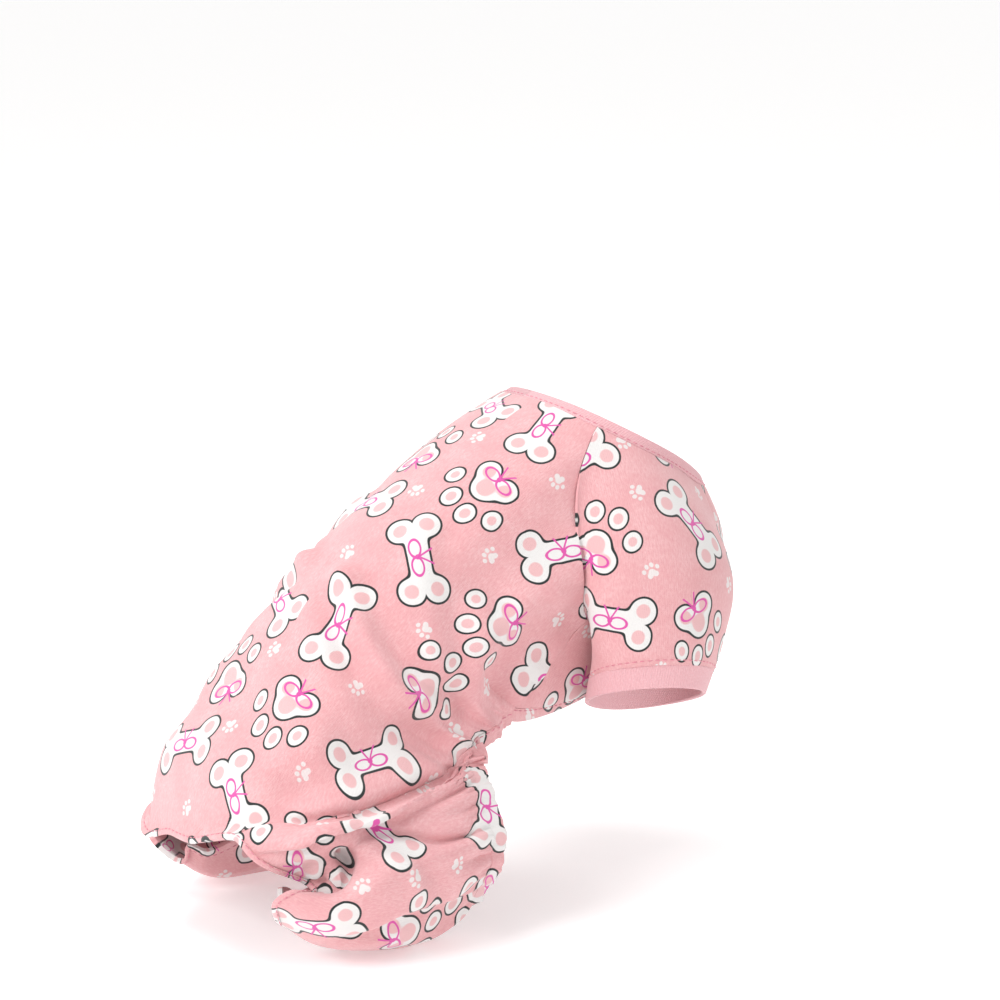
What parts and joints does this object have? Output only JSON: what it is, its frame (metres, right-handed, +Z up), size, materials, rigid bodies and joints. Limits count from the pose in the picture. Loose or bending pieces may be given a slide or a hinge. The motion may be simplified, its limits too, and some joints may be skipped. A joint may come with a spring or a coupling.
{
  "type": "dog jumpsuit",
  "caption": "Printed cotton-jersey pyjama jumpsuit for a small dog, with raglan sleeves, gathered hind legs and an open seat, in its shape when worn sitting.",
  "frame": {"origin": "the middle of the back at the rear edge of the neck opening, where the jumpsuit sits on the dog's withers", "axes": "+X the way the dog faces, +Y the dog's left, +Z up; the floor that the dog sits on is 0.200 m below the origin"},
  "size_m": [0.2554, 0.1646, 0.1979],
  "materials": {
    "printed_jersey": "soft brushed jersey, light pink with a scattered print",
    "plain_band": "fine plain pink rib"
  },
  "bodies": {
    "root": {"back_panel": "printed_jersey", "belly_panel": "printed_jersey", "sleeve_right": "printed_jersey", "sleeve_left": "printed_jersey", "hind_leg_right": "printed_jersey", "hind_leg_left": "printed_jersey", "belly_hem": "printed_jersey", "seat_hem": "printed_jersey", "leg_cuff_right": "printed_jersey", "leg_cuff_left": "printed_jersey", "neck_band": "plain_band", "sleeve_band_right": "plain_band", "sleeve_band_left": "plain_band"}
  },
  "joints": []
}
